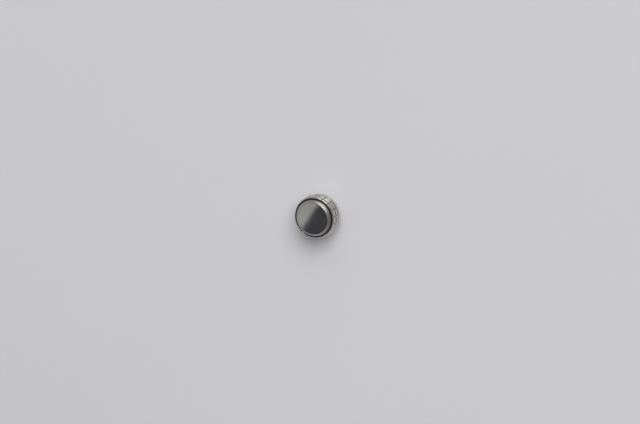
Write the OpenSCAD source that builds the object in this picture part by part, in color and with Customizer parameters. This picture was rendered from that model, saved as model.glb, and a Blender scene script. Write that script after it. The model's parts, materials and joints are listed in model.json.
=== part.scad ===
// Screw-down watch crown, shown screwed off its case tube, with its spring holding the head out.
// All sizes are millimetres. The origin is on the axis, at the rear end of the drive pipe, and +Z
// points out through the cap, so the crown stands on its pipe.

/* [Grip shell] */
// Largest diameter over the grip's teeth
crown_d = 6.5; // [6:0.1:8]
// Length of the shell along the axis
grip_h = 3.4; // [3.2:0.1:5]
// Length of the plain skirt behind the teeth
skirt_h = 0.85; // [0.5:0.05:1.2]
// How much the skirt's radius narrows towards the rear
skirt_taper = 0.33; // [0.1:0.01:0.4]
// Radius of the arc that gives the shell its barrel shape
barrel_r = 8; // [6:0.5:16]
// Height of the shell's widest place over its rear rim
widest_h = 2.2; // [1.6:0.05:2.6]
// Teeth round the grip
teeth = 18; // [12:1:30]
// Rows of teeth along the axis
rows = 3; // [2:1:5]
// Width of the turned V grooves between rows, at the surface
row_gap_w = 0.44; // [0.2:0.01:0.5]
// Depth of the turned V grooves between rows, and of the skirt
row_gap_depth = 0.2; // [0.1:0.01:0.25]
// Width of the milled V flutes between teeth, at the surface
flute_w = 0.26; // [0.1:0.01:0.32]
// Depth of the milled V flutes between teeth
flute_depth = 0.16; // [0.06:0.01:0.17]
// Chamfer on the shell's front edge
front_chamfer = 0.13; // [0.05:0.01:0.15]
// Chamfer on the shell's rear edge
rear_chamfer = 0.1; // [0.05:0.01:0.2]
// Width of the shell's front land, outside the ring groove
land_w = 0.2; // [0.18:0.01:0.4]
// Depth of the shell's front recess, which is the ring groove's depth
recess_depth = 0.32; // [0.2:0.01:0.5]

/* [Cap] */
// Width of the ring groove between the cap and the shell
ring_gap = 0.23; // [0.15:0.01:0.4]
// Height of the cap's edge over the shell's front land
cap_rise = 0.5; // [0.4:0.01:0.7]
// Width of the cap's bevel, seen from the front
bevel_w = 0.31; // [0.1:0.01:0.4]
// Height of the cap's bevel
bevel_h = 0.34; // [0.1:0.01:0.4]
// Rounding of the edge between the bevel and the face
edge_r = 0.08; // [0.03:0.01:0.12]
// Height of the face's dome
dome_h = 0.08; // [0.04:0.01:0.2]
// Thickness of the cap over its hollow
cap_t = 0.45; // [0.4:0.01:0.6]

/* [Drive pipe] */
// Outside diameter of the pipe, which is the case tube's pilot
pipe_d = 1.9; // [1.8:0.05:2.1]
// Wall of the pipe round the spring's pocket
pipe_wall = 0.23; // [0.18:0.01:0.3]
// Nominal diameter of the stem's thread
tap_d = 0.9; // [0.7:0.1:1.2]
// Depth of the stem's thread
tap_depth = 1.25; // [1:0.05:1.3]
// Solid web between the point of the stem's hole and the spring's pocket
web_t = 0.15; // [0.12:0.01:0.2]
// Thickness of the hexagon flange
flange_t = 0.35; // [0.25:0.05:0.5]
// How far the flange's flats stand out from the pipe
flange_lip = 0.27; // [0.2:0.01:0.4]
// Travel of the head along the pipe
travel = 0.85; // [0.5:0.05:1]
// Travel left over at each end, so that the spring is never crushed
reserve = 0.05; // [0.03:0.01:0.1]

/* [Bushes and sleeve] */
// Wall of the drive bush at the hexagon's corners
core_wall = 0.45; // [0.3:0.01:0.5]
// Thickness of the retaining bush
bush_t = 0.3; // [0.2:0.05:0.4]
// Nominal diameter of the case tube's thread
thread_d = 3.6; // [3.5:0.1:4]
// Wall of the threaded sleeve
sleeve_wall = 0.35; // [0.25:0.01:0.4]
// How far the sleeve sits inside the rear rim
sleeve_recess = 0.1; // [0.05:0.01:0.3]
// Gap on each side of a part that slides in another
running_gap = 0.03; // [0.02:0.005:0.05]

/* [Seals and washers] */
// Thickness of the flat gasket
gasket_t = 0.4; // [0.3:0.05:0.5]
// Gap between the gasket's hole and the pipe
gasket_gap = 0.15; // [0.12:0.01:0.25]
// Thickness of the gasket's washer
washer_t = 0.1; // [0.08:0.01:0.15]
// Thickness of the spring's thrust washer
thrust_t = 0.1; // [0.08:0.01:0.15]
// Hole through the thrust washer
thrust_hole_d = 0.5; // [0.3:0.1:0.8]
// Thickness of an O-ring's cord
o_ring_t = 0.34; // [0.28:0.01:0.38]
// How far an O-ring stands out of its groove
o_ring_proud = 0.07; // [0.04:0.01:0.08]
// Length of the pipe's free end, below the groove that holds both O-rings
pilot_h = 0.45; // [0.3:0.05:0.5]

/* [Spring] */
// Thickness of the spring's wire
wire_d = 0.14; // [0.1:0.01:0.16]
// Curls of the spring
curls = 4; // [3:1:4]
// Gap between the spring and its pocket
spring_gap = 0.08; // [0.05:0.01:0.15]

/* [Hidden] */

// Circles are drawn with this many sides
$fn = 96;
// Cutters run this far past what they cut
over = 0.2;
// Chamfer on the small turned edges
small_chamfer = 0.05;
// Sides round the spring's wire, and rings along one curl
wire_sides = 6;
curl_rings = 8;
// Half the angle of a drill's point
drill_point = 59;
// Steps along the cap's rounded edge, and along one row of the grip
edge_steps = 5;
row_steps = 3;

// Radii, from the axis outwards
tap_r = tap_d / 2;
pipe_r = pipe_d / 2;
pocket_r = pipe_r - pipe_wall;
flange_flat_r = pipe_r + flange_lip;
hex_flat_r = flange_flat_r + running_gap;
core_r = hex_flat_r / cos(30) + core_wall;
thread_r = thread_d / 2;
bore_r = thread_r + sleeve_wall;
crown_r = crown_d / 2;
front_r = crown_r - barrel_r + sqrt(pow(barrel_r, 2) - pow(grip_h - widest_h, 2));
recess_r = front_r - land_w;
cap_r = recess_r - ring_gap;
face_r = cap_r - bevel_w;
groove_r = pipe_r - o_ring_t + o_ring_proud;
groove_w = 2 * o_ring_t + 3 * running_gap;
row_h = (grip_h - skirt_h) / rows;
spring_r = pocket_r - spring_gap - wire_d / 2;

// Heights over the pipe's rear end, with the head held out by the spring
rim_z = travel + reserve;
widest_z = rim_z + widest_h;
front_z = rim_z + grip_h;
seat_z = front_z - recess_depth;
cap_z = front_z + cap_rise;
ceiling_z = cap_z - cap_t;
thrust_z = ceiling_z - thrust_t;
pipe_top_z = thrust_z - reserve - travel;
flange_z = pipe_top_z - flange_t;
gasket_top_z = flange_z - bush_t;
gasket_z = gasket_top_z - gasket_t;
washer_z = gasket_z - washer_t;
sleeve_z = rim_z + sleeve_recess;
tap_point_z = tap_depth + tap_r / tan(drill_point);
pocket_z = tap_point_z + web_t;

// Points on an arc of radius r that rounds a corner between two outward directions
function rounded(corner, r, from, to, steps) =
    let (middle = (from + to) / 2)
    let (centre = corner - r / cos((to - from) / 2) * [cos(middle), sin(middle)])
    [for (i = [0 : steps])
        let (a = from + (to - from) * i / steps)
        centre + r * [cos(a), sin(a)]];

function unit(v) = v / norm(v);

// A ring, or a disc where inner_r is 0, with chamfers on its bore's edges and on its outer edges
module ring(inner_r, outer_r, low, high, inner_chamfer = 0, outer_chamfer = 0) {
    rotate_extrude()
        polygon([
            [inner_r + inner_chamfer, low],
            [outer_r - outer_chamfer, low],
            [outer_r, low + outer_chamfer],
            [outer_r, high - outer_chamfer],
            [outer_r - outer_chamfer, high],
            [inner_r + inner_chamfer, high],
            [inner_r, high - inner_chamfer],
            [inner_r, low + inner_chamfer]
        ]);
}

// A point at height h over the rear rim, this deep under the grip's barrel arc
function barrel_point(h, depth = 0) =
    let (lean = asin((h - widest_h) / barrel_r))
    [crown_r - barrel_r, widest_z] + (barrel_r - depth) * [cos(lean), sin(lean)];

// The barrel arc from one height to another
function barrel_points(low, high) =
    [for (i = [0 : row_steps]) barrel_point(low + (high - low) * i / row_steps)];

// One row of the grip, from its rear end to its front end, and the bottom of the groove after it
function row_points(row) =
    let (low = skirt_h + row * row_h)
    let (high = low + row_h)
    row == rows - 1
        ? barrel_points(low + row_gap_w / 2, high - front_chamfer)
        : concat(
            barrel_points(low + row_gap_w / 2, high - row_gap_w / 2),
            [barrel_point(high, row_gap_depth)]
        );

// A straight V cut along one row of the grip, leaning as the row does. At the end rows it runs past
// the grip's end.
module flute_cutter(row) {
    lean = asin((skirt_h + (row + 0.5) * row_h - widest_h) / barrel_r);
    mouth = flute_w / 2 * (flute_depth + over) / flute_depth;
    past = row == 0 || row == rows - 1 ? 2 * over : 0;
    translate([crown_r - barrel_r, 0, widest_z])
        rotate([0, -lean, 0])
            translate([barrel_r, 0, 0])
                linear_extrude(row_h + past, center = true)
                    polygon([[-flute_depth, 0], [over, -mouth], [over, mouth]]);
}

// The shell is turned with its stepped bore and its front recess, and the flutes are cut last. They
// run out over the skirt, which lies deeper than they do.
module grip_shell() {
    skirt_top = barrel_point(skirt_h, row_gap_depth);
    rear_r = skirt_top[0] - skirt_taper;
    color([0.78, 0.77, 0.73])
        difference() {
            rotate_extrude()
                polygon(concat(
                    [
                        [bore_r, flange_z],
                        [bore_r, rim_z],
                        [rear_r - rear_chamfer, rim_z],
                        [rear_r, rim_z + rear_chamfer],
                        skirt_top
                    ],
                    [for (row = [0 : rows - 1]) each row_points(row)],
                    [
                        [front_r - front_chamfer, front_z],
                        [recess_r, front_z],
                        [recess_r, seat_z],
                        [core_r, seat_z],
                        [core_r, flange_z]
                    ]
                ));
            for (i = [0 : teeth - 1])
                for (row = [0 : rows - 1])
                    rotate((i + 0.5) * 360 / teeth) flute_cutter(row);
        }
}

// The cap's hollow sits over the drive bush, and its rim rests on the floor of the shell's recess
module cap_disc() {
    dome_r = (pow(face_r, 2) + pow(dome_h, 2)) / (2 * dome_h);
    bevel_facing = atan2(bevel_w, bevel_h);
    face_facing = 90 - asin(face_r / dome_r);
    color([0.66, 0.67, 0.66])
        rotate_extrude()
            intersection() {
                polygon(concat(
                    [
                        [0, ceiling_z],
                        [core_r, ceiling_z],
                        [core_r, seat_z],
                        [cap_r - small_chamfer, seat_z],
                        [cap_r, seat_z + small_chamfer],
                        [cap_r, cap_z - bevel_h]
                    ],
                    rounded([face_r, cap_z], edge_r, bevel_facing, face_facing, edge_steps),
                    [[0, cap_z + dome_h]]
                ));
                translate([0, cap_z + dome_h - dome_r]) circle(r = dome_r);
            }
}

// The hexagon hole runs the whole length, so that the flange is driven all along its travel
module drive_bush() {
    hole_r = hex_flat_r / cos(30);
    color([0.70, 0.68, 0.62])
        difference() {
            ring(0, core_r, flange_z, thrust_z, outer_chamfer = small_chamfer);
            translate([0, 0, flange_z - over])
                cylinder(r = hole_r, h = thrust_z - flange_z + 2 * over, $fn = 6);
        }
}

module drive_pipe() {
    corner_r = flange_flat_r / cos(30);
    color([0.74, 0.74, 0.75])
        difference() {
            union() {
                rotate_extrude()
                    polygon([
                        [0, 0],
                        [pipe_r - small_chamfer, 0],
                        [pipe_r, small_chamfer],
                        [pipe_r, pipe_top_z],
                        [0, pipe_top_z]
                    ]);
                intersection() {
                    translate([0, 0, flange_z]) cylinder(r = corner_r, h = flange_t, $fn = 6);
                    ring(0, corner_r - small_chamfer / 2, flange_z, pipe_top_z,
                        outer_chamfer = small_chamfer);
                }
            }
            translate([0, 0, pocket_z]) cylinder(r = pocket_r, h = pipe_top_z);
            translate([0, 0, -over]) cylinder(r = tap_r, h = tap_depth + over);
            translate([0, 0, tap_depth]) cylinder(r1 = tap_r, r2 = 0, h = tap_point_z - tap_depth);
            translate([0, 0, -small_chamfer])
                cylinder(r1 = tap_r + 2 * small_chamfer, r2 = tap_r, h = 2 * small_chamfer);
            ring(groove_r, pipe_r + over, pilot_h, pilot_h + groove_w);
        }
}

// Points of the wire's middle line: a straight end as long as the wire is thick, the curls, and
// another straight end
spring_low = pocket_z + wire_d;
spring_high = thrust_z - wire_d;
spring_path = concat(
    [[spring_r, 0, pocket_z]],
    [for (i = [0 : curls * curl_rings])
        let (a = 360 * i / curl_rings)
        let (share = i / (curls * curl_rings))
        [spring_r * cos(a), spring_r * sin(a), spring_low + (spring_high - spring_low) * share]],
    [[spring_r, 0, thrust_z]]
);

// Least distance between two stretches of the wire that are at least half a curl apart
spring_reach = len(spring_path) - 2;
spring_clear = min([
    for (i = [1 : spring_reach - 4])
        for (j = [i + 4 : spring_reach])
            norm(spring_path[i] - spring_path[j])
]) - wire_d;
echo(spring_least_gap = spring_clear);

// Six points round the middle line at point i, on the plane that halves the bend there
function wire_ring(path, i) =
    let (last = len(path) - 1)
    let (into = unit(path[max(i, 1)] - path[max(i, 1) - 1]))
    let (out_of = unit(path[min(i, last - 1) + 1] - path[min(i, last - 1)]))
    let (along = unit(into + out_of))
    let (outward = unit([path[i][0], path[i][1], 0]))
    let (side = unit(outward - (outward * along) * along))
    let (up = cross(along, side) / (along * out_of))
    [for (k = [0 : wire_sides - 1])
        path[i] + wire_d / 2 * (cos(360 * k / wire_sides) * side + sin(360 * k / wire_sides) * up)];

module return_spring() {
    count = len(spring_path);
    points = [for (i = [0 : count - 1]) each wire_ring(spring_path, i)];
    walls = [
        for (i = [0 : count - 2])
            for (k = [0 : wire_sides - 1])
                let (a = i * wire_sides + k)
                let (b = i * wire_sides + (k + 1) % wire_sides)
                each [[a, a + wire_sides, b], [b, a + wire_sides, b + wire_sides]]
    ];
    first_end = [for (k = [1 : wire_sides - 2]) [0, k, k + 1]];
    start = (count - 1) * wire_sides;
    last_end = [for (k = [1 : wire_sides - 2]) [start, start + k + 1, start + k]];
    color([0.60, 0.61, 0.63])
        polyhedron(points = points, faces = concat(walls, first_end, last_end), convexity = 10);
}

// It fills the cap's hollow over the drive bush, and the spring turns against it
module thrust_washer() {
    color([0.82, 0.80, 0.76])
        ring(thrust_hole_d / 2, core_r - running_gap, thrust_z, ceiling_z);
}

// The pipe's flange rests on it, and the pipe runs through its hole
module retaining_bush() {
    color([0.72, 0.70, 0.64])
        ring(pipe_r + running_gap, bore_r, gasket_top_z, flange_z, inner_chamfer = small_chamfer);
}

module tube_gasket() {
    color([0.10, 0.10, 0.11])
        ring(pipe_r + gasket_gap, bore_r, gasket_z, gasket_top_z, inner_chamfer = small_chamfer);
}

// Its hole lets the end of the case tube through to the gasket
module gasket_washer() {
    color([0.80, 0.80, 0.80])
        ring(thread_r + running_gap, bore_r, washer_z, gasket_z);
}

module threaded_sleeve() {
    color([0.75, 0.72, 0.64])
        ring(thread_r, bore_r, sleeve_z, washer_z, inner_chamfer = 2 * small_chamfer);
}

// The two lie side by side in the pipe's groove, with the running gap between and beside them
module o_ring(place) {
    z = pilot_h + running_gap + o_ring_t / 2 + place * (o_ring_t + running_gap);
    color([0.07, 0.07, 0.08])
        translate([0, 0, z])
            rotate_extrude()
                translate([groove_r + o_ring_t / 2, 0]) circle(d = o_ring_t);
}

module outer_o_ring() {
    o_ring(1);
}

module inner_o_ring() {
    o_ring(0);
}

grip_shell();
cap_disc();
drive_bush();
drive_pipe();
return_spring();
thrust_washer();
retaining_bush();
tube_gasket();
gasket_washer();
threaded_sleeve();
outer_o_ring();
inner_o_ring();
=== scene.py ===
# Screw-down watch crown, standing on its drive pipe with the spring holding the head out.
# Every piece is made finer here than in the CAD model, rides on its body and stands for its CAD node.
import json
import math

import bmesh
import bpy
from mathutils import Matrix, Vector


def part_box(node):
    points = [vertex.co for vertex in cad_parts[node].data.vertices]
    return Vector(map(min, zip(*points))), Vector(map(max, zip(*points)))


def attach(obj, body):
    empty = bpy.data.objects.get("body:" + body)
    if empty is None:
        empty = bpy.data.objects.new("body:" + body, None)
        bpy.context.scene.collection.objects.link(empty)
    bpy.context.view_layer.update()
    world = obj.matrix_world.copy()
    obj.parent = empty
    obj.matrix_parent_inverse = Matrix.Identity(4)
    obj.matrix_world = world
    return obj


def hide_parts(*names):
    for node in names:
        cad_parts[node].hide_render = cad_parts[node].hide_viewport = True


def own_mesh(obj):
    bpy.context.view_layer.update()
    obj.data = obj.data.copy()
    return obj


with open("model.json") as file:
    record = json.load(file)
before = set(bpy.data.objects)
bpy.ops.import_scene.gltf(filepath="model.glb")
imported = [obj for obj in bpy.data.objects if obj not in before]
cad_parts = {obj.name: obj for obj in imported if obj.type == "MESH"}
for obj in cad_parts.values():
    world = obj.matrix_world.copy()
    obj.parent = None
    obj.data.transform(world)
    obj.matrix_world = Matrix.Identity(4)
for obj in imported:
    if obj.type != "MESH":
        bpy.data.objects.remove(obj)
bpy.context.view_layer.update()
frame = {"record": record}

# Grip shell: one steel turning with a barrel-shaped outside, a stepped bore and a front recess.
# Flutes are milled along it down to a plain skirt, and two grooves turned round it, which leaves
# rows of square teeth. It is polished last, so that every edge of the teeth is slightly rounded.
MM = 0.001

shell_low, shell_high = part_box("grip_shell")
bush_low, bush_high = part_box("drive_bush")
cap_low, cap_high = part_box("cap_disc")
bore_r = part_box("retaining_bush")[1].x

grip_h = shell_high.z - shell_low.z
barrel_r = 8 * MM
widest_h = 2.2 * MM
teeth = 18
rows = 3
skirt_h = 0.85 * MM
skirt_taper = 0.33 * MM
row_h = (grip_h - skirt_h) / rows
row_gap_w = 0.44 * MM
row_gap_depth = 0.2 * MM
flute_w = 0.26 * MM
flute_depth = 0.16 * MM
rear_chamfer = 0.1 * MM
front_chamfer = 0.13 * MM
chamfer_blend = 0.012 * MM
land_blend = 0.006 * MM
edge_round = 0.03 * MM
ring_gap = 0.23 * MM
recess_r = cap_high.x + ring_gap
tooth_swell = 0.03 * MM
small_step = 0.001 * MM
weld_distance = 1e-6 * MM
cut_softness = 0.07
# Painted shade in the cuts and grooves: how much of it lies in the rows, how far down it deepens, where it
# starts and is full, and its metallic and roughness.
groove_shade_in_rows = 0.6
groove_shade_deepens_over = 0.12 * MM
groove_shade_starts = 0.42
groove_shade_full = 0.9
groove_shade_metal = 0.25
groove_shade_rough = 0.55
columns_per_tooth = 22
rings_per_row = 30
skirt_rings = 6
land_rings = (0.8, 0.55, 0.3)


def rounded_outline(corners, steps=4, hold=0.2):
    """Points of an outline given as (radius from the axis, height, rounding) at each corner.
    A corner with rounding becomes an arc, with a holding point just before and after it."""
    points = []
    for i, (r, z, rounding) in enumerate(corners):
        here = Vector((r, z))
        if not rounding or i in (0, len(corners) - 1):
            points.append(here)
            continue
        before = (Vector(corners[i - 1][:2]) - here).normalized()
        after = (Vector(corners[i + 1][:2]) - here).normalized()
        half = before.angle(after) / 2
        reach = rounding / math.tan(half)
        centre = here + (before + after).normalized() * rounding / math.sin(half)
        first = here + before * reach
        last = here + after * reach
        points.append(first + before * rounding * hold)
        turn = (first - centre).angle(last - centre)
        for k in range(steps + 1):
            share = k / steps
            spoke = ((first - centre) * math.sin((1 - share) * turn)
                     + (last - centre) * math.sin(share * turn)) / math.sin(turn)
            points.append(centre + spoke)
        points.append(last + after * rounding * hold)
    return points


def turned(points, columns=192, closed=True):
    """The outline spun once round the axis. A closed one is joined from its last point to its first."""
    made = bmesh.new()
    chain = [made.verts.new((p.x, 0, p.y)) for p in points]
    edges = [made.edges.new(pair) for pair in zip(chain, chain[1:])]
    if closed:
        edges.append(made.edges.new((chain[-1], chain[0])))
    bmesh.ops.spin(made, geom=chain + edges, cent=(0, 0, 0), axis=(0, 0, 1), dvec=(0, 0, 0),
                   angle=2 * math.pi, steps=columns, use_merge=True, use_normal_flip=False,
                   use_duplicate=False)
    bmesh.ops.remove_doubles(made, verts=made.verts, dist=weld_distance)
    bmesh.ops.recalc_face_normals(made, faces=made.faces)
    return made


def crowded_ends(share, ends=0.35):
    """A share from 0 to 1, drawn towards 0, so that more cuts fall beside a groove."""
    return ends * share + (1 - ends) * share ** 3


def barrel_radius(h, depth=0):
    """Radius of the barrel arc at height h over the rear rim, this deep under its surface."""
    return shell_high.x - barrel_r + math.sqrt((barrel_r - depth) ** 2 - (h - widest_h) ** 2)


def cut_share(distance, width):
    """How deep a V cut with softened edges is, this far from its middle, as a share of its depth."""
    x = (1 - 2 * distance / width) / cut_softness
    full = math.log(1 + math.exp(1 / cut_softness))
    return math.log(1 + math.exp(x)) / full


def row_gap_share(h):
    """How deep the turned grooves and the skirt's step are at height h, as a share of their depth."""
    return max(cut_share(abs(h - skirt_h - k * row_h), row_gap_w) for k in range(rows))


def swell_at(share_round, share_along):
    """How far polishing has lowered a tooth's face, by the shares of the way to its edges."""
    return tooth_swell * (share_round ** 4 + share_along ** 4)


def together(a, b):
    """The larger of two depths, a little more where they are nearly equal."""
    return (a ** 4 + b ** 4) ** 0.25


def softer_of(a, b, blend):
    """The smaller of two lengths, rounded over where they are nearly equal."""
    return min(a, b) - blend * math.log(1 + math.exp(-abs(a - b) / blend))


def wall_radius(h):
    """Radius of the turned wall at height h over the rear rim, with the chamfer of the front edge."""
    ahead = barrel_radius(grip_h) - front_chamfer + (grip_h - h)
    return softer_of(barrel_radius(h), ahead, chamfer_blend)


def grip_outline():
    """The shell's section: the skirt, the rows, the land, and back inside to the rear rim."""
    skirt_top = Vector((barrel_radius(skirt_h, row_gap_depth), shell_low.z + skirt_h))
    rear_r = skirt_top.x - skirt_taper
    skirt_foot = Vector((rear_r, shell_low.z + rear_chamfer))
    points = [skirt_foot.lerp(skirt_top, k / skirt_rings) for k in range(1, skirt_rings)]
    half = rings_per_row // 2
    for row in range(rows):
        for k in range(rings_per_row):
            share = k / half
            near = crowded_ends(min(share, 2 - share)) / 2
            h = skirt_h + row_h * (row + (near if share <= 1 else 1 - near))
            points.append(Vector((wall_radius(h), shell_low.z + h)))
    land_edge = wall_radius(grip_h)
    land_start = recess_r + edge_round
    points.append(Vector((land_edge, shell_high.z)))
    for share in land_rings:
        points.append(Vector((land_start + (land_edge - land_start) * share, shell_high.z)))
    inside = rounded_outline([
        (land_edge, shell_high.z, 0),
        (recess_r, shell_high.z, edge_round / 2),
        (recess_r, cap_low.z, edge_round),
        (bush_high.x, cap_low.z, edge_round),
        (bush_high.x, bush_low.z, edge_round / 2),
        (bore_r, bush_low.z, edge_round),
        (bore_r, shell_low.z, edge_round),
        (rear_r - rear_chamfer, shell_low.z, edge_round),
        (*skirt_foot, edge_round),
        (*points[0], 0)
    ])
    return points + inside[1:-1]


def mill_flutes(made):
    """Moves the turned wall in along each flute, gathers the columns beside the flutes, and notes for the
    material how deep each point lies in a cut, with the recess round the cap as deep as any, which sets how
    much painted shade lies there."""
    pitch = 2 * math.pi / teeth
    rear_rim_r = bore_r + 2 * edge_round
    land_from_r = recess_r + 0.6 * edge_round
    land_run_out = wall_radius(grip_h) - recess_r - edge_round / 2
    depth = made.verts.layers.float.new("groove_depth")
    for v in made.verts:
        r = math.hypot(v.co.x, v.co.y)
        h = v.co.z - shell_low.z
        place = math.atan2(v.co.y, v.co.x) / pitch - 0.5
        gap = round(place)
        offset = crowded_ends(min(1.0, 2 * abs(place - gap))) / 2
        angle = (gap + 0.5 + math.copysign(offset, place - gap)) * pitch
        outside = (r > rear_rim_r and h < grip_h / 2) or r > land_from_r
        # The depth noted here sets the painted shade in the skirt's step, the cuts and the recess.
        if outside and h < skirt_h - small_step:
            v[depth] = groove_shade_in_rows * cut_share(skirt_h - h, row_gap_w)
        elif outside:
            flute = cut_share(offset * pitch * barrel_radius(h), flute_w)
            row_gap = row_gap_share(h)
            cut = together(flute * flute_depth, row_gap * row_gap_depth)
            along = (h - skirt_h) / row_h % 1
            swell = swell_at(1 - 2 * offset, abs(2 * along - 1))
            lowered = cut + swell * max(0.0, 1 - together(flute, row_gap))
            edge = wall_radius(h)
            fade = max(0.0, 1 - (edge - r) / land_run_out)
            r -= (edge - softer_of(edge, barrel_radius(h, lowered), land_blend)) * fade
            v[depth] = together(flute, row_gap * groove_shade_in_rows) * fade
        elif r > bush_high.x and v.co.z > cap_low.z - edge_round:
            v[depth] = min(1.0, (shell_high.z - v.co.z) / groove_shade_deepens_over)
        v.co.x = r * math.cos(angle)
        v.co.y = r * math.sin(angle)


def new_material(name, slot):
    """A material with its shader, and the colour that the record gives to its slot."""
    made = bpy.data.materials.new(name)
    made.use_nodes = True
    shader = made.node_tree.nodes["Principled BSDF"]
    listed = next(m for m in frame["record"]["materials"] if m["slot"] == slot)
    return made, made.node_tree, shader, listed["base_color"]


def add(tree, kind, inputs=None, **settings):
    """A node with its settings, whose named or numbered inputs take a value or another node's socket."""
    node = tree.nodes.new("ShaderNode" + kind)
    for name, value in settings.items():
        setattr(node, name, value)
    for name, value in (inputs or {}).items():
        if isinstance(value, bpy.types.NodeSocket):
            tree.links.new(value, node.inputs[name])
        else:
            node.inputs[name].default_value = value
    return node


def millimetres(tree, scale=(1, 1, 1)):
    """The piece's own coordinates in millimetres, stretched by scale."""
    place = add(tree, "TexCoord").outputs["Object"]
    return add(tree, "Mapping", {"Vector": place, "Scale": [s / MM for s in scale]}).outputs["Vector"]


def noise(tree, vector, per_mm, detail=4.0, roughness=0.55):
    """A noise pattern with this many features in a millimetre, or in one unit of a direction."""
    return add(tree, "TexNoise", {"Vector": vector, "Scale": per_mm, "Detail": detail,
                                  "Roughness": roughness}).outputs["Fac"]


def ramp(tree, factor, span, to):
    """The factor, drawn from one range on to another and kept inside it."""
    return add(tree, "MapRange", {"Value": factor, "From Min": span[0], "From Max": span[1],
                                  "To Min": to[0], "To Max": to[1]}).outputs["Result"]


def soft_step(tree, factor, low, high, to_high=1.0):
    """The factor, drawn from low to high on to the range from 0 to to_high with soft ends."""
    return add(tree, "MapRange", {"Value": factor, "From Min": low, "From Max": high, "To Max": to_high},
               interpolation_type="SMOOTHSTEP").outputs["Result"]


def colour_between(tree, factor, a, b):
    """The colour a, going over into b as the factor goes from 0 to 1."""
    return add(tree, "Mix", {0: factor, 6: a, 7: b}, data_type="RGBA").outputs[2]


def shaded(tree, factor, colour, darkest, lightest):
    """Shades of a colour, given as shares of it, from the darkest to the lightest by a factor."""
    dark = [c * darkest for c in colour] + [1]
    light = [c * lightest for c in colour] + [1]
    return colour_between(tree, factor, dark, light)


def product(tree, a, b):
    """Two factors multiplied."""
    return add(tree, "Math", {0: a, 1: b}, operation="MULTIPLY").outputs[0]


def total(tree, a, b):
    """Two factors added."""
    return add(tree, "Math", {0: a, 1: b}, operation="ADD").outputs[0]


def bump(tree, height, distance, under=None):
    """A surface normal with this much relief, over another bump if there is one."""
    inputs = {"Height": height, "Distance": distance, "Strength": 1.0}
    if under is not None:
        inputs["Normal"] = under
    return add(tree, "Bump", inputs).outputs["Normal"]


def paint_groove_shade(tree, shader, shade, rough, painted_shade_colour):
    """Lays painted shade in the grooves over the steel's colour, gloss and roughness: a dark, dull colour
    that covers more where a point lies deeper in a cut.
    """
    depth = add(tree, "Attribute", attribute_name="groove_depth").outputs["Fac"]
    patches = noise(tree, millimetres(tree), per_mm=7, detail=5, roughness=0.7)
    uneven = ramp(tree, patches, (0.25, 0.75), to=(-0.18, 0.18))
    cover = soft_step(tree, total(tree, depth, uneven), groove_shade_starts, groove_shade_full)
    dull = add(tree, "Mix", {0: cover, 2: rough, 3: groove_shade_rough}, data_type="FLOAT").outputs[0]
    tree.links.new(colour_between(tree, cover, shade, (*painted_shade_colour, 1)), shader.inputs["Base Color"])
    tree.links.new(ramp(tree, cover, (0, 1), to=(1, groove_shade_metal)), shader.inputs["Metallic"])
    tree.links.new(dull, shader.inputs["Roughness"])


def grip_steel():
    """Polished over milling: bright tooth faces with fine lines along the axis, and painted shade, dark and
    dull, in the cuts.
    """
    made, tree, shader, colour = new_material("grip_steel_polished_teeth", "grip_steel")
    lines = noise(tree, millimetres(tree, (1, 1, 0.05)), per_mm=45, detail=6)
    haze = noise(tree, millimetres(tree), per_mm=2.2, detail=5)
    pits = noise(tree, millimetres(tree), per_mm=26, detail=3)
    shade = shaded(tree, haze, colour, 0.83, 0.97)
    rough = ramp(tree, haze, (0.3, 0.7), to=(0.1, 0.18))
    # Painted shade, dark and dull, in the grip's cuts, flutes and recess.
    paint_groove_shade(tree, shader, shade, rough, painted_shade_colour=(0.035, 0.033, 0.03))
    relief = bump(tree, lines, 0.0012 * MM)
    relief = bump(tree, pits, 0.0008 * MM, relief)
    tree.links.new(relief, shader.inputs["Normal"])
    return made


def finish_piece(made, name, node, body, material, sharp=math.radians(38)):
    """Makes the mesh a piece that rides on its body and stands for its CAD node."""
    for face in made.faces:
        face.smooth = True
    mesh = bpy.data.meshes.new(name)
    made.to_mesh(mesh)
    made.free()
    mesh.set_sharp_from_angle(angle=sharp)
    mesh.materials.append(material)
    piece = bpy.data.objects.new(name, mesh)
    bpy.context.scene.collection.objects.link(piece)
    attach(piece, body)
    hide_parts(node)
    return piece


shell = turned(grip_outline(), teeth * columns_per_tooth)
mill_flutes(shell)
finish_piece(shell, "toothed_grip_shell", "grip_shell", "head", grip_steel())

# Cap: a thick steel disc with a shallow dome, a broad bevel and a softened edge between them.
# Its hollow is pressed over the drive bush, and it is polished to a mirror before that.
bevel_w = 0.31 * MM
bevel_h = 0.34 * MM
cap_edge_round = 0.08 * MM
dome_h = 0.08 * MM
dome_steps = 14
ceiling_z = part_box("thrust_washer")[1].z


def cap_outline():
    """The cap's section, from its hollow's ceiling round the rim to the middle of the dome."""
    cap_r = cap_high.x
    face_r = cap_r - bevel_w
    cap_z = cap_high.z - dome_h
    dome_r = (face_r ** 2 + dome_h ** 2) / (2 * dome_h)
    corners = [
        (0, ceiling_z, 0),
        (bush_high.x, ceiling_z, edge_round / 2),
        (bush_high.x, cap_low.z, edge_round / 2),
        (cap_r, cap_low.z, edge_round),
        (cap_r, cap_z - bevel_h, edge_round),
        (face_r, cap_z, cap_edge_round)
    ]
    dome = []
    for k in range(1, dome_steps + 1):
        r = face_r * (1 - k / dome_steps)
        dome.append((r, cap_high.z - dome_r + math.sqrt(dome_r ** 2 - r ** 2), 0))
    return rounded_outline(corners + dome, steps=6)


def section_place(tree):
    """The piece's own coordinates in millimetres, as the distance from the axis and the height."""
    parts = add(tree, "SeparateXYZ", {0: millimetres(tree)})
    flat = add(tree, "CombineXYZ", {0: parts.outputs[0], 1: parts.outputs[1]}).outputs[0]
    radius = add(tree, "VectorMath", {0: flat}, operation="LENGTH").outputs["Value"]
    return add(tree, "CombineXYZ", {0: radius, 1: parts.outputs[2]}).outputs[0]


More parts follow.
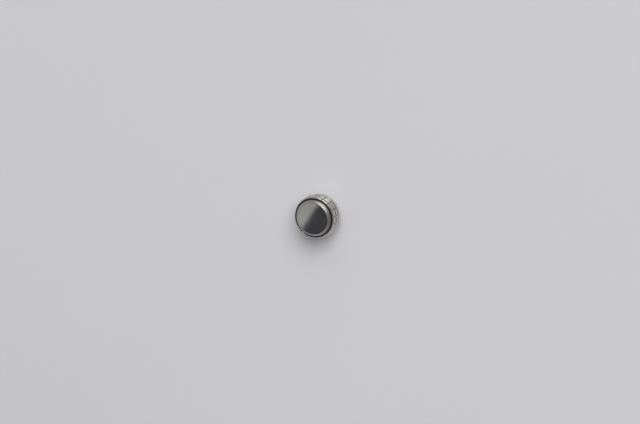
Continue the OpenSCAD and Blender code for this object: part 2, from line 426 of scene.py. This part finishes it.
def mirror_steel():
    """Steel with a mirror-polished face, which has a faint haze and hair-thin marks, and a finely turned
    bevel with a satin gloss, whose colour is painted darker as shade that dims its reflections."""
    made, tree, shader, colour = new_material("cap_steel_mirror_polish", "polished_steel")
    haze = noise(tree, millimetres(tree), per_mm=0.8)
    hairs = noise(tree, millimetres(tree, (1, 0.04, 1)), per_mm=60, detail=5)
    crossing = noise(tree, millimetres(tree, (0.05, 1, 1)), per_mm=52, detail=5)
    turning = noise(tree, section_place(tree), per_mm=30, detail=5)
    hazy = ramp(tree, haze, (0.35, 0.7), to=(0, 1))
    marks = product(tree, ramp(tree, hairs, (0.62, 0.78), to=(0, 1)), hazy)
    cross_marks = ramp(tree, crossing, (0.66, 0.8), to=(0, 0.7))
    turned_bevel = add(tree, "Attribute", attribute_name="bevel").outputs["Fac"]
    mirror_shade = shaded(tree, haze, colour, 0.96, 1.06)
    # The bevel's colour is painted darker than the face's, as shade that dims its reflections.
    bevel_painted_shade = shaded(tree, haze, colour, 0.63, 0.73)
    shade = colour_between(tree, turned_bevel, mirror_shade, bevel_painted_shade)
    gloss = ramp(tree, haze, (0.3, 0.75), to=(0.05, 0.11))
    polished = total(tree, gloss, product(tree, marks, cross_marks))
    satin = product(tree, turned_bevel, ramp(tree, turning, (0.3, 0.7), to=(0.2, 0.26)))
    # Painted shade, dark and dull, on the cap's wall down in the ring groove.
    paint_groove_shade(tree, shader, shade, total(tree, polished, satin), painted_shade_colour=(0.02, 0.019, 0.018))
    relief = bump(tree, marks, 0.00025 * MM)
    relief = bump(tree, cross_marks, 0.0002 * MM, relief)
    relief = bump(tree, product(tree, turned_bevel, turning), 0.0005 * MM, relief)
    tree.links.new(relief, shader.inputs["Normal"])
    return made


def mark_finishes(made):
    """Notes for the material where the bevel is, and how deep in the ring groove the wall below it is,
    which sets the painted shade on that wall.
    """
    depth = made.verts.layers.float.new("groove_depth")
    bevel = made.verts.layers.float.new("bevel")
    bevel_starts = cap_high.x - bevel_w - cap_edge_round
    for v in made.verts:
        r = math.hypot(v.co.x, v.co.y)
        v[bevel] = min(1.0, max(0.0, (r - bevel_starts) / cap_edge_round))
        # Painted shade on the cap's side wall, deeper further down in the ring groove.
        if r > cap_high.x - edge_round:
            v[depth] = min(1.0, max(0.0, (shell_high.z - v.co.z) / groove_shade_deepens_over))


cap = turned(cap_outline(), closed=False)
mark_finishes(cap)
finish_piece(cap, "polished_cap", "cap_disc", "head", mirror_steel())

# Drive bush: a round steel bush inside the shell, under the cap. A hexagon hole is broached
# right through it, so that the head turns the pipe wherever it stands along it.
hexagon_sides = 6
running_gap = 0.03 * MM
o_ring_proud = 0.07 * MM
flange_lip = 0.27 * MM
bush_round = 0.05 * MM
stays_round = 0.1 * MM
pipe_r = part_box("inner_o_ring")[1].x - o_ring_proud
flange_flat_r = pipe_r + flange_lip
hex_flat_r = flange_flat_r + running_gap


def ring_outline(hole_r, low, high, rounds):
    """A ring's section, closed in its hole's wall. The rounds are those of the hole's upper edge,
    the outside's upper and lower edge, and the hole's lower edge."""
    upper_hole, upper_rim, lower_rim, lower_hole = rounds
    return rounded_outline([
        (hole_r, (low.z + high.z) / 2, 0),
        (hole_r, high.z, upper_hole),
        (high.x, high.z, upper_rim),
        (high.x, low.z, lower_rim),
        (hole_r, low.z, lower_hole),
        (hole_r, low.z * 0.6 + high.z * 0.4, 0)
    ])


def make_hexagonal(made, flat_r, still_r, lowest):
    """Draws the round wall at flat_r out to a hexagon, and what lies between it and still_r with it."""
    side = 2 * math.pi / hexagon_sides
    for v in made.verts:
        r = math.hypot(v.co.x, v.co.y)
        share = (r - still_r) / (flat_r - still_r)
        if share > 0 and v.co.z > lowest:
            angle = math.atan2(v.co.y, v.co.x) % side - side / 2
            reach = flat_r / math.cos(angle) - flat_r
            wider = (r + reach * min(1.0, share)) / r
            v.co.x *= wider
            v.co.y *= wider


def lay_marks(tree, shader, marks, rough, relief):
    """Lays the marks that a tool leaves on bare steel over its gloss and its relief."""
    tree.links.new(ramp(tree, marks, (0.3, 0.7), to=rough), shader.inputs["Roughness"])
    tree.links.new(bump(tree, marks, relief), shader.inputs["Normal"])
    shader.inputs["Metallic"].default_value = 1.0


def turned_steel():
    """Steel as it leaves the lathe: fine rings from the tool on every face, dulled a little by handling."""
    made, tree, shader, colour = new_material("turned_steel_tool_rings", "turned_steel")
    rings = noise(tree, section_place(tree), per_mm=38, detail=6, roughness=0.65)
    haze = noise(tree, millimetres(tree), per_mm=3)
    tree.links.new(shaded(tree, haze, colour, 0.9, 1.12), shader.inputs["Base Color"])
    lay_marks(tree, shader, rings, rough=(0.2, 0.36), relief=0.003 * MM)
    return made


bush_rounds = (edge_round / 2, bush_round, bush_round, edge_round / 2)
bush = turned(ring_outline(hex_flat_r, bush_low, bush_high, bush_rounds))
make_hexagonal(bush, hex_flat_r, bush_high.x - stays_round, bush_low.z - small_step)
plain_turned = turned_steel()
finish_piece(bush, "broached_drive_bush", "drive_bush", "head", plain_turned)

# Drive pipe: ground steel, with a hexagon flange that runs in the bush and a pocket for the spring.
# Its other end has a groove for both O-rings and is tapped for the winding stem.
pipe_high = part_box("drive_pipe")[1]
o_ring_low, o_ring_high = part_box("outer_o_ring")
inner_ring_low, inner_ring_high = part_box("inner_o_ring")
spring_low, spring_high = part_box("return_spring")
pipe_wall = 0.23 * MM
o_ring_groove = 0.27 * MM
pocket_r = pipe_r - pipe_wall
groove_r = pipe_r - o_ring_groove
small_chamfer = 0.05 * MM
tap_r = 0.45 * MM
tap_depth = 1.25 * MM
tap_pitch = 0.225 * MM
drill_point = math.radians(59)
thread_rings = 14
thread_share = 0.54
crest_ends = 0.25
root_starts = 0.875
thread_fades_over = 0.6
on_wall_within = 0.0001 * MM


def thread_outline(r, start, end, pitch):
    """Closely spaced points along a wall that is to be threaded, without its two ends."""
    count = round(abs(end - start) / pitch * thread_rings)
    return [(r, start + (end - start) * k / count, 0) for k in range(1, count)]


def cut_thread(made, r, start, end, pitch):
    """Raises a right-hand ridge inwards on the wall at radius r, fading at both ends of the thread."""
    fade = pitch * thread_fades_over
    for v in made.verts:
        on_wall = abs(math.hypot(v.co.x, v.co.y) - r) < on_wall_within
        if on_wall and start < v.co.z < end:
            turn = math.atan2(v.co.y, v.co.x) / (2 * math.pi)
            phase = (v.co.z / pitch - turn) % 1
            flank = min(1.0, max(0.0, (root_starts - abs(2 * phase - 1)) / (root_starts - crest_ends)))
            ends = min(1.0, (v.co.z - start) / fade, (end - v.co.z) / fade)
            ridge = pitch * thread_share * flank * flank * (3 - 2 * flank) * ends
            narrower = (r - ridge) / r
            v.co.x *= narrower
            v.co.y *= narrower


def ground_steel():
    """Centreless-ground steel: a tight, even finish with very fine lines round the pipe."""
    made, tree, shader, colour = new_material("pipe_steel_ground", "pipe_steel")
    lines = noise(tree, millimetres(tree, (0.06, 0.06, 1)), per_mm=85, detail=5, roughness=0.6)
    haze = noise(tree, millimetres(tree), per_mm=4)
    tree.links.new(shaded(tree, haze, colour, 0.94, 1.12), shader.inputs["Base Color"])
    lay_marks(tree, shader, lines, rough=(0.16, 0.28), relief=0.0015 * MM)
    return made


groove_low = inner_ring_low.z - running_gap
groove_high = o_ring_high.z + running_gap
pipe = turned(rounded_outline([
    (0, spring_low.z, 0),
    (pocket_r, spring_low.z, edge_round),
    (pocket_r, pipe_high.z, edge_round / 2),
    (flange_flat_r, pipe_high.z, edge_round),
    (flange_flat_r, bush_low.z, edge_round / 2),
    (pipe_r, bush_low.z, edge_round / 2),
    (pipe_r, groove_high, edge_round / 2),
    (groove_r, groove_high, edge_round / 2),
    (groove_r, groove_low, edge_round / 2),
    (pipe_r, groove_low, edge_round / 2),
    (pipe_r, small_chamfer, edge_round / 2),
    (pipe_r - small_chamfer, 0, edge_round / 2),
    (tap_r + small_chamfer, 0, edge_round / 2),
    (tap_r, small_chamfer, 0),
    *thread_outline(tap_r, small_chamfer, tap_depth, tap_pitch),
    (tap_r, tap_depth, 0),
    (0, tap_depth + tap_r / math.tan(drill_point), 0)
]), closed=False)
cut_thread(pipe, tap_r, small_chamfer, tap_depth, tap_pitch)
make_hexagonal(pipe, flange_flat_r, pipe_r + edge_round, bush_low.z - small_step)
finish_piece(pipe, "ground_drive_pipe", "drive_pipe", "pipe", ground_steel())

# Return spring: hard-drawn steel wire, wound with a closed turn at each end that is ground flat.
# It stands in the pipe's pocket and pushes on the thrust washer under the cap.
wire_r = 0.07 * MM
wire_sides = 16
spring_gap = 0.08 * MM
spring_r = pocket_r - spring_gap - wire_r
open_turns = 3.5
closed_turns = 0.75
closed_pitch = 1.02 * 2 * wire_r
end_lift = 0.7 * wire_r
steps_per_turn = 32


def wound_wire():
    """Round wire spun up round the axis: a closed turn, the open turns, and a closed turn, with
    what would stand out over the ground ends laid flat."""
    made = bmesh.new()
    bmesh.ops.create_circle(made, cap_ends=True, segments=wire_sides, radius=wire_r)
    start = Matrix.Translation((spring_r, 0, spring_low.z + end_lift))
    bmesh.ops.transform(made, matrix=start @ Matrix.Rotation(math.pi / 2, 4, "X"), verts=made.verts)
    closed_rise = closed_pitch * closed_turns
    open_rise = spring_high.z - spring_low.z - 2 * end_lift - 2 * closed_rise
    geometry = made.faces[:]
    for turns, rise in ((closed_turns, closed_rise), (open_turns, open_rise), (closed_turns, closed_rise)):
        steps = round(turns * steps_per_turn)
        spun = bmesh.ops.spin(made, geom=geometry, cent=(0, 0, 0), axis=(0, 0, 1),
                              angle=turns * 2 * math.pi, dvec=(0, 0, rise / steps), steps=steps,
                              use_merge=False, use_normal_flip=False, use_duplicate=False)
        geometry = spun["geom_last"]
    for v in made.verts:
        v.co.z = min(spring_high.z, max(spring_low.z, v.co.z))
    bmesh.ops.recalc_face_normals(made, faces=made.faces)
    return made


def spring_steel():
    """Drawn wire: bright, with faint marks along the wire from the die."""
    made, tree, shader, colour = new_material("spring_steel_drawn_wire", "spring_steel")
    marks = noise(tree, millimetres(tree, (0.4, 0.4, 1)), per_mm=70)
    haze = noise(tree, millimetres(tree), per_mm=6, detail=3)
    tree.links.new(shaded(tree, haze, colour, 0.88, 1.15), shader.inputs["Base Color"])
    lay_marks(tree, shader, marks, rough=(0.18, 0.32), relief=0.0012 * MM)
    return made


wire_steel = spring_steel()
spring = finish_piece(wound_wire(), "wound_return_spring", "return_spring", "pipe",
                      wire_steel)
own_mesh(spring)

# Thrust washer: a hard, flat steel ring that fills the cap's hollow over the drive bush.
# It is stamped, so its edges are rounded, and the spring turns and presses on it.
washer_low, washer_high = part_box("thrust_washer")
washer_hole_r = 0.25 * MM
washer_rounds = (edge_round / 2, edge_round, edge_round / 2, edge_round)
washer = turned(ring_outline(washer_hole_r, washer_low, washer_high, washer_rounds))
finish_piece(washer, "stamped_thrust_washer", "thrust_washer", "head", wire_steel)

# Retaining bush: a turned ring pressed in the shell from behind, with a hole for the pipe.
# The pipe's flange rests on it, so the pipe can't leave the head.
retainer_low, retainer_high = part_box("retaining_bush")
retainer_hole_r = pipe_r + running_gap
retainer_rounds = (small_chamfer, edge_round, edge_round, small_chamfer)
retainer = turned(ring_outline(retainer_hole_r, retainer_low, retainer_high, retainer_rounds))
finish_piece(retainer, "turned_retaining_bush", "retaining_bush", "head", plain_turned)

# Tube gasket: a flat ring of black rubber against the retaining bush, moulded with soft edges.
# The end of the case tube is screwed against it.
gasket_low, gasket_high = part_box("tube_gasket")
gasket_gap = 0.15 * MM
gasket_hole_r = pipe_r + gasket_gap
rubber_round = 0.06 * MM


def seal_rubber():
    """Moulded black rubber with a fine grain, dusty grey where it has been rubbed."""
    made, tree, shader, colour = new_material("seal_rubber_moulded", "seal_rubber")
    grain = noise(tree, millimetres(tree), per_mm=55, detail=5, roughness=0.6)
    rubbed = noise(tree, millimetres(tree), per_mm=5)
    dusty = ramp(tree, rubbed, (0.45, 0.75), to=(0, 1))
    tree.links.new(shaded(tree, dusty, colour, 1, 2.2), shader.inputs["Base Color"])
    tree.links.new(ramp(tree, rubbed, (0.3, 0.75), to=(0.42, 0.62)), shader.inputs["Roughness"])
    tree.links.new(bump(tree, grain, 0.003 * MM), shader.inputs["Normal"])
    shader.inputs["Specular IOR Level"].default_value = 0.45
    return made


black_rubber = seal_rubber()
gasket = turned(ring_outline(gasket_hole_r, gasket_low, gasket_high, [rubber_round] * 4))
finish_piece(gasket, "moulded_tube_gasket", "tube_gasket", "head", black_rubber)

# Gasket washer: a thin turned ring that keeps the gasket in its seat when the crown is unscrewed.
# The case tube goes through its hole.
thin_low, thin_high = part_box("gasket_washer")
thread_r = 1.8 * MM
thin_rounds = (edge_round, edge_round / 2, edge_round / 2, edge_round)
thin = turned(ring_outline(thread_r + running_gap, thin_low, thin_high, thin_rounds))
finish_piece(thin, "thin_gasket_washer", "gasket_washer", "head", plain_turned)

# Threaded sleeve: a turned steel ring pressed in the shell behind the gasket.
# Its bore has the fine thread that screws on the case tube, with a lead-in chamfer at each end.
sleeve_low, sleeve_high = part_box("threaded_sleeve")
sleeve_pitch = 0.35 * MM
lead_in = 0.1 * MM
sleeve = turned(rounded_outline([
    (thread_r, sleeve_low.z + lead_in, 0),
    (thread_r + lead_in, sleeve_low.z, edge_round / 2),
    (sleeve_high.x, sleeve_low.z, edge_round),
    (sleeve_high.x, sleeve_high.z, edge_round),
    (thread_r + lead_in, sleeve_high.z, edge_round / 2),
    (thread_r, sleeve_high.z - lead_in, 0),
    *thread_outline(thread_r, sleeve_high.z - lead_in, sleeve_low.z + lead_in, sleeve_pitch)
]))
cut_thread(sleeve, thread_r, sleeve_low.z + lead_in, sleeve_high.z - lead_in, sleeve_pitch)
finish_piece(sleeve, "threaded_sleeve_turned", "threaded_sleeve", "head", plain_turned)

# O-rings: two rings of round black rubber cord, side by side in the pipe's groove.
# They stand a little proud of the pipe and seal it in the case tube's bore.
cord_sides = 32
o_rings = {"outer_o_ring": (o_ring_low, o_ring_high), "inner_o_ring": (inner_ring_low, inner_ring_high)}
for name, (low, high) in o_rings.items():
    cord_r = (high.z - low.z) / 2
    circle = [Vector((high.x - cord_r + cord_r * math.cos(a), low.z + cord_r + cord_r * math.sin(a)))
              for a in (2 * math.pi * k / cord_sides for k in range(cord_sides))]
    finish_piece(turned(circle), name + "_moulded", name, "pipe", black_rubber)

# Floor: a wide round sheet of pale paper with a slight tooth, whose rim curves up all round,
# so that a low camera sees paper behind the crown too.
floor_r = 0.7
rim_bend_r = 0.05
rim_wall_h = 0.03
bend_steps = 12
floor_columns = 96
down_facing = -0.01
paper_grey = (0.59, 0.59, 0.62, 1)
paper_pale = (0.61, 0.61, 0.64, 1)


def paper():
    """Pale, slightly cool paper with a soft tooth and faint unevenness."""
    made = bpy.data.materials.new("pale_paper")
    made.use_nodes = True
    tree = made.node_tree
    shader = tree.nodes["Principled BSDF"]
    tooth = noise(tree, millimetres(tree), per_mm=1.6, detail=6)
    uneven = noise(tree, millimetres(tree), per_mm=0.02, detail=3)
    tree.links.new(colour_between(tree, uneven, paper_grey, paper_pale), shader.inputs["Base Color"])
    tree.links.new(bump(tree, tooth, 0.01 * MM), shader.inputs["Normal"])
    shader.inputs["Roughness"].default_value = 0.9
    shader.inputs["Specular IOR Level"].default_value = 0.1
    return made


flat = [Vector((0, 0)), Vector((floor_r / 2, 0))]
bend = [Vector((floor_r + rim_bend_r * math.sin(a), rim_bend_r * (1 - math.cos(a))))
        for a in (math.pi / 2 * k / bend_steps for k in range(bend_steps + 1))]
rim_wall = [Vector((floor_r + rim_bend_r, rim_bend_r + rim_wall_h))]
sheet = turned(flat + bend + rim_wall, columns=floor_columns, closed=False)
bmesh.ops.reverse_faces(sheet, faces=[f for f in sheet.faces if f.normal.z < down_facing])
for face in sheet.faces:
    face.smooth = True
floor_mesh = bpy.data.meshes.new("paper_floor")
sheet.to_mesh(floor_mesh)
sheet.free()
floor_mesh.materials.append(paper())
floor = bpy.data.objects.new("paper_floor", floor_mesh)
bpy.context.scene.collection.objects.link(floor)

# Light: one broad, soft lamp high over the right of the frame, and a plain room around.
# The room is pale on one side, dim on the other and a little lighter low down, with two soft, warm
# glows on the lamp's side. The polished steel shows all of it. Its angles are in degrees.
lamp_azimuth = -64
lamp_elevation = 50
lamp_distance = 1.5
lamp_spread = 40
lamp_level = 0.67
pale_side = Vector((0.857, 0.515, 0))
pale_starts = 0.194
pale_full = 0.238
pale_rest = 0.35
dim_colour = (0.07, 0.068, 0.078, 1)
pale_colour = (0.45, 0.46, 0.43, 1)
low_sky_level = 0.17
low_sky_full = 0.4
low_sky_ends = 0.7
low_sky_colour = (1.0, 0.98, 0.97)
glow_colour = (1.0, 0.95, 0.88)


def direction_of(azimuth, elevation):
    """The direction with this azimuth from +X and this elevation."""
    a = math.radians(azimuth)
    e = math.radians(elevation)
    return Vector((math.cos(a) * math.cos(e), math.sin(a) * math.cos(e), math.sin(e)))


lamp_direction = direction_of(lamp_azimuth, lamp_elevation)
lamp_data = bpy.data.lights.new("soft_lamp", "AREA")
lamp_data.shape = "DISK"
lamp_data.size = 2 * lamp_distance * math.tan(math.radians(lamp_spread / 2))
lamp_data.energy = lamp_level * (math.pi * lamp_distance) ** 2 / math.sin(math.radians(lamp_elevation))
lamp = bpy.data.objects.new("soft_lamp", lamp_data)
lamp.location = lamp_direction * lamp_distance
lamp.rotation_euler = lamp_direction.to_track_quat("Z", "Y").to_euler()
bpy.context.scene.collection.objects.link(lamp)


def facing(tree, direction, way):
    """How nearly the direction points this way, from -1 to 1."""
    return add(tree, "VectorMath", {0: direction, 1: way}, operation="DOT_PRODUCT").outputs["Value"]


def glow_towards(tree, direction, azimuth, elevation, full_within, ends_at, level):
    """A round glow in the room with soft edges, by its place and its two angles from its middle."""
    towards = facing(tree, direction, direction_of(azimuth, elevation))
    low, high = (math.cos(math.radians(angle)) for angle in (ends_at, full_within))
    return soft_step(tree, towards, low, high, level)


def lit_more(tree, colour, light, by):
    """The colour with the light's colour added to it, as strongly as by says."""
    return add(tree, "VectorMath", {0: by, 1: light, 2: colour}, operation="MULTIPLY_ADD").outputs["Vector"]


def room():
    """A world that goes from dim to pale across the sky, a little lighter low down, with two glows."""
    world = bpy.data.worlds.new("room")
    world.use_nodes = True
    tree = world.node_tree
    direction = add(tree, "TexCoord").outputs["Generated"]
    overhead = glow_towards(tree, direction, azimuth=96, elevation=63, full_within=18, ends_at=42,
                            level=1 - pale_rest)
    side = soft_step(tree, facing(tree, direction, pale_side), pale_starts, pale_full)
    pale = product(tree, side, total(tree, overhead, pale_rest))
    height = add(tree, "SeparateXYZ", {0: direction}).outputs[2]
    low_sky = soft_step(tree, height, low_sky_ends, low_sky_full, low_sky_level)
    sky = lit_more(tree, colour_between(tree, pale, dim_colour, pale_colour), low_sky_colour, low_sky)
    walls = ramp(tree, noise(tree, direction, 1.7, detail=2), (0.3, 0.7), to=(0.85, 1.15))
    uneven = add(tree, "VectorMath", {0: sky, "Scale": walls}, operation="SCALE").outputs["Vector"]
    glow = glow_towards(tree, direction, azimuth=-41, elevation=33, full_within=17, ends_at=32, level=0.92)
    high_glow = glow_towards(tree, direction, azimuth=-100, elevation=66, full_within=12, ends_at=27,
                             level=0.8)
    lit = lit_more(tree, uneven, glow_colour, total(tree, glow, high_glow))
    tree.links.new(lit, tree.nodes["Background"].inputs["Color"])
    bpy.context.scene.world = world


room()

# Camera: the photograph's view, from high over the crown's front, with the camera rolled.
# The grip's 6.5 mm take up about 44 pixels there, which gives the size of a pixel.
camera_azimuth = math.radians(6)
camera_elevation = math.radians(63.5)
camera_roll = math.radians(29.8)
camera_lens = 100
photo_width_px = 640
pixel = 0.1477 * MM
land_offset_px = (-6.15, -5.9)
front_side = Vector((math.sin(camera_azimuth), -math.cos(camera_azimuth), 0))
back = front_side * math.cos(camera_elevation) + Vector((0, 0, math.sin(camera_elevation)))
down_slope = front_side * math.sin(camera_elevation) - Vector((0, 0, math.cos(camera_elevation)))
across_slope = back.cross(down_slope)
right = down_slope * math.cos(camera_roll) - across_slope * math.sin(camera_roll)
up = down_slope * math.sin(camera_roll) + across_slope * math.cos(camera_roll)
camera_data = bpy.data.cameras.new("photo_camera")
camera_data.lens = camera_lens
camera_data.clip_start = 0.005
camera_data.clip_end = 5
camera = bpy.data.objects.new("photo_camera", camera_data)
land_middle = Vector((0, 0, shell_high.z))
target = land_middle - right * land_offset_px[0] * pixel - up * land_offset_px[1] * pixel
place = target + back * pixel * photo_width_px * camera_lens / camera_data.sensor_width
camera.matrix_world = Matrix((
    (right.x, up.x, back.x, place.x),
    (right.y, up.y, back.y, place.y),
    (right.z, up.z, back.z, place.z),
    (0, 0, 0, 1)
))
bpy.context.scene.collection.objects.link(camera)
bpy.context.scene.camera = camera
bpy.context.scene.view_settings.view_transform = "Standard"
